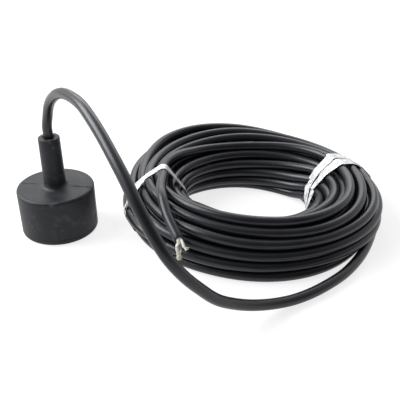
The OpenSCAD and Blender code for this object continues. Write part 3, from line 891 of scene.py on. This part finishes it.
class TRANSDUCER_OT_stripped_end(bpy.types.Operator):
    """Strips the cable's end: two cores, their bare strands and the screen"""
    bl_idname = "transducer.stripped_end"
    bl_label = "Strip Cable End"

    def execute(self, context):
        sizes, colours, _ = settings()
        self.at, self.along, self.side, self.up = cut_frame()
        self.at = self.at + CUT_SLANT * sizes.cable_d / MM / 2 * self.along
        self.wire_r = sizes.wire_d / MM / 2
        core_r = sizes.core_d / MM / 2
        pale = plain_finish("pale insulation", colours.pale_core, 0.38, vary=0.06)
        # Black insulation whose bluish sheen is painted into its colour
        dark = plain_finish("dark insulation with painted sheen", colours.dark_core_painted_sheen, 0.40, vary=0.15)
        wire = plain_finish("tinned wire", colours.wire, 0.36, 0.15, 4000.0, 700.0, 0.2)
        white = self.core_route(150, [(1.6, -3.2, -2.3), (2.8, -5.0, -4.6)])
        black = self.core_route(270, [(0.8, -3.3, -2.4), (1.5, -5.5, -5.0)])
        screen = self.core_route(30, [(-1.1, -3.0, -3.5), (-0.8, -4.2, -6.6), (-0.1, -5.2, -9.8),
                                      (0.6, -6.2, -13.4), (0.4, -7.2, -16.9)])
        self.core("pale_core", "core_white", white, core_r, pale, "white_insulation")
        self.core("dark_core_painted_sheen", "core_black", black, core_r, dark, "black_insulation")
        self.bundle("pale_core_strands", "strands_white", white[-1],
                    [(0, 0, 0), (0.7, -0.6, -0.5), (1.5, -0.8, -1.0), (2.2, -0.9, -1.4), (3.0, -0.9, -1.6)],
                    wire, wires=60, spread=1.5, flare=2.9, seed=5)
        self.bundle("dark_core_strands", "strands_black", black[-1],
                    [(0, 0, 0), (-0.3, -0.9, -1.2), (-1.0, -1.4, -3.0), (-1.6, -1.8, -5.0)],
                    wire, wires=22, spread=0.9, flare=1.6, seed=6)
        self.bundle("screen_strands", "screen_wire", (0, 0, 0), screen,
                    wire, wires=46, spread=1.9, flare=1.7, seed=7, twist=1.4)
        self.bedding(sizes, pale)
        return {"FINISHED"}

    def core_route(self, seat, points):
        """Route of a core from its seat in the jacket, at an angle, through points off that seat."""
        a = math.radians(seat)
        start = self.at + 1.75 * (math.cos(a) * self.side + math.sin(a) * self.up)
        inside = [start - 2.0 * self.along, start, start + 1.5 * self.along]
        return run(inside + [start + np.array(p) for p in points], 0.7)

    def core(self, name, node, route, radius, material, slot):
        """Insulation with a rough cut end round the strands."""
        points, faces = tube(route, radius, CORE_SIDES, caps=False)
        first = len(points) - CORE_SIDES
        ring = points[first:]
        middle, along = route[-1], tangents(route)[-1]
        lips = ((0.96, 0.12), (0.86, 0.16), (0.6, 0.05), (0.55, -0.6), (0.02, -0.6))
        rows = [middle + (ring - middle) * s + along * z for s, z in lips]
        faces += shifted(grid_faces(len(rows) + 1, CORE_SIDES), first)
        piece(name, np.concatenate([points, *rows]), faces, material, (node,), sharp=50)

    def bundle(self, name, node, start, route, material, wires, spread, flare, seed, twist=1.2):
        """Bare wires that leave together, twist and fray apart."""
        draw = np.random.default_rng(seed)
        spine = run(np.array(route, float) + start, 0.55)
        across, up = carried_sides(spine, (1, 0, 0))
        t = np.linspace(0, 1, len(spine))
        parts = []
        for k in range(wires):
            ring = spread * math.sqrt((k + 0.5) / wires)
            phase = k * GOLDEN_ANGLE
            wide = ring * (0.72 + flare * np.clip(t - 0.45, 0, 1) ** 1.5 * draw.uniform(0.2, 1.9))
            angle = phase + twist * 2 * math.pi * t * draw.uniform(0.85, 1.15)
            stray = draw.normal(0, 0.5, 3) * np.clip(t - 0.5, 0, 1)[:, None] ** 2 * 4 * flare
            path = spine + (wide * np.cos(angle))[:, None] * across
            path = path + (wide * np.sin(angle))[:, None] * up + stray
            keep = max(6, int(len(spine) * draw.uniform(0.82, 1.0)))
            parts.append(tube(path[:keep], self.wire_r * draw.uniform(0.9, 1.5), 6))
        points, faces = gather(parts)
        piece(name, points, faces, material, (node,), sharp=60)

    def bedding(self, sizes, pale):
        """Pale filler round the cores, inside the jacket's mouth."""
        radius = sizes.cable_d / MM / 2 - sizes.jacket_wall / MM - 0.03
        angle = round_angles(FILLER_SIDES)
        ring = spokes(angle, self.side, self.up)
        rough = 1 + 0.05 * np.sin(5 * angle + 1) + 0.03 * np.sin(11 * angle)
        rows = [(radius, -2.1), (radius, -0.3), (radius - 0.15, 0.1), (radius - 0.55, 0.22),
                (radius - 0.8, -0.1), (radius - 0.95, -1.2), (0.02, -1.3)]
        points = []
        for r, z in rows:
            reach = (z * rough)[:, None] + cut_back(r * ring, self.along, 0)
            points.append(self.at + r * ring + reach * self.along)
        faces = grid_faces(len(rows), FILLER_SIDES)
        piece("bedding", np.concatenate(points), faces, pale, sharp=60)


class TRANSDUCER_OT_inside(bpy.types.Operator):
    """Gives the pieces inside the drum their finishes"""
    bl_idname = "transducer.inside"
    bl_label = "Finish Inside"

    def execute(self, context):
        colours = settings()[1]
        cork = cork_finish("cork", colours.cork)
        finishes = {
            "piezo_disc": ceramic_finish("silvered ceramic", colours.ceramic, colours.silver),
            "cork_sleeve": cork,
            "cork_backing": cork,
            "potting": plain_finish("cast resin", colours.resin, 0.42, vary=0.3),
            "front_lead": plain_finish("front lead insulation", colours.pale_core, 0.38, vary=0.06),
            # The rear lead takes the dark core's colour: black insulation with its sheen painted in
            "rear_lead": plain_finish("rear lead insulation with painted sheen", colours.dark_core_painted_sheen, 0.40, vary=0.15),
            "solder_joints": plain_finish("dull solder", colours.solder, 0.38, 1.0, 1200.0, 500.0, 0.15),
        }
        for name, material in finishes.items():
            mesh = NODES[name].data
            mesh.materials.clear()
            mesh.materials.append(material)
        return {"FINISHED"}


class TRANSDUCER_OT_cord(bpy.types.Operator):
    bl_idname = "transducer.cord"
    bl_label = "Declare Cable"

    def execute(self, context):
        path = cable_path() * MM
        return {"FINISHED"}


class TRANSDUCER_OT_stage(bpy.types.Operator):
    """Sets the camera, the floor and the light"""
    bl_idname = "transducer.stage"
    bl_label = "Set Stage"

    def execute(self, context):
        studio = settings()[2]
        scene = context.scene
        camera = bpy.data.cameras.new("camera")
        camera.sensor_width = SENSOR_W
        camera.lens = studio.lens
        camera.clip_end = 20
        eye = bpy.data.objects.new("camera", camera)
        eye.location = CAMERA_AT
        eye.rotation_euler = (math.radians(CAMERA_TILT), 0, 0)
        scene.collection.objects.link(eye)
        scene.camera = eye
        self.floor()
        self.world(scene, studio)
        for name, power, size, place in (("key", studio.key, KEY_SIZE, KEY_AT),
                                         ("top", studio.top, TOP_SIZE, TOP_AT)):
            light = bpy.data.lights.new(name, "AREA")
            light.shape = "RECTANGLE"
            light.size, light.size_y = size
            light.energy = power
            lamp = bpy.data.objects.new(name, light)
            lamp.location = place
            aim = Vector(LIGHT_TARGET) - Vector(place)
            lamp.rotation_euler = aim.to_track_quat("-Z", "Y").to_euler()
            scene.collection.objects.link(lamp)
        scene.view_settings.view_transform = "Standard"
        return {"FINISHED"}

    def seen(self, tree):
        """1 for the rays that show the background: camera, glossy and transmission rays."""
        path = add(tree, "ShaderNodeLightPath").outputs
        shown = maths(tree, "MAXIMUM", path["Is Camera Ray"], path["Is Glossy Ray"])
        return maths(tree, "MAXIMUM", shown, path["Is Transmission Ray"])

    def floor(self):
        mesh = bpy.data.meshes.new("floor")
        s, z = FLOOR_HALF, FLOOR_LEVEL
        mesh.from_pydata([(-s, -s, z), (s, -s, z), (s, s, z), (-s, s, z)], [], [(0, 1, 2, 3)])
        material, tree, shader = new_material("white floor")
        glow = remap(tree, self.seen(tree), 0, 1, 0.25, 0.76)
        fill(tree, shader, {"Emission Strength": glow, "Emission Color": (1, 1, 1, 1), "Roughness": 0.9,
                            "Base Color": (0.30, 0.30, 0.30, 1), "Specular IOR Level": 0.0})
        mesh.materials.append(material)
        floor = bpy.data.objects.new("floor", mesh)
        bpy.context.scene.collection.objects.link(floor)

    def world(self, scene, studio):
        world = bpy.data.worlds.new("studio")
        world.use_nodes = True
        tree = world.node_tree
        strength = remap(tree, self.seen(tree), 0, 1, studio.fill, 1.0)
        # White all round, but for a dark opening that the glossy rubber mirrors
        toward = add(tree, "ShaderNodeTexCoord").outputs["Generated"]
        facing = add(tree, "ShaderNodeVectorMath", {0: toward, 1: OPENING_TOWARDS}, operation="DOT_PRODUCT")
        mirrored = add(tree, "ShaderNodeLightPath").outputs["Is Glossy Ray"]
        shade = maths(tree, "MULTIPLY", remap(tree, facing.outputs["Value"], 0.2, 0.8), mirrored)
        room = blend_colour(tree, shade, (1, 1, 1), (studio.opening,) * 3)
        fill(tree, tree.nodes["Background"], {"Color": room, "Strength": strength})
        scene.world = world


class TRANSDUCER_PT_panel(bpy.types.Panel):
    """Lists the sizes, the colours and the steps"""
    bl_idname = "TRANSDUCER_PT_panel"
    bl_label = "Transducer"
    bl_space_type = "VIEW_3D"
    bl_region_type = "UI"
    bl_category = "Transducer"

    def draw(self, context):
        for group in settings():
            box = self.layout.box()
            for name in group.__annotations__:
                box.prop(group, name)
        for step in STEPS:
            self.layout.operator(step.bl_idname)


GROUP_PROPERTIES = {"transducer_sizes": TransducerSizes, "transducer_colours": TransducerColours,
                    "transducer_studio": StudioSettings}
STEPS = (TRANSDUCER_OT_stage, TRANSDUCER_OT_cable, TRANSDUCER_OT_drum, TRANSDUCER_OT_ties,
         TRANSDUCER_OT_stripped_end, TRANSDUCER_OT_inside, TRANSDUCER_OT_cord)
CLASSES = (*GROUP_PROPERTIES.values(), *STEPS, TRANSDUCER_PT_panel)


def register():
    for cls in CLASSES:
        bpy.utils.register_class(cls)
    for name, group in GROUP_PROPERTIES.items():
        setattr(bpy.types.Scene, name, PointerProperty(type=group))


def unregister():
    for name in GROUP_PROPERTIES:
        delattr(bpy.types.Scene, name)
    for cls in reversed(CLASSES):
        bpy.utils.unregister_class(cls)


def main():
    register()
    bpy.ops.transducer.stage()
    bpy.ops.transducer.cable()
    bpy.ops.transducer.drum()
    bpy.ops.transducer.ties()
    bpy.ops.transducer.stripped_end()
    bpy.ops.transducer.inside()
    bpy.ops.transducer.cord()


if __name__ == "__main__":
    main()
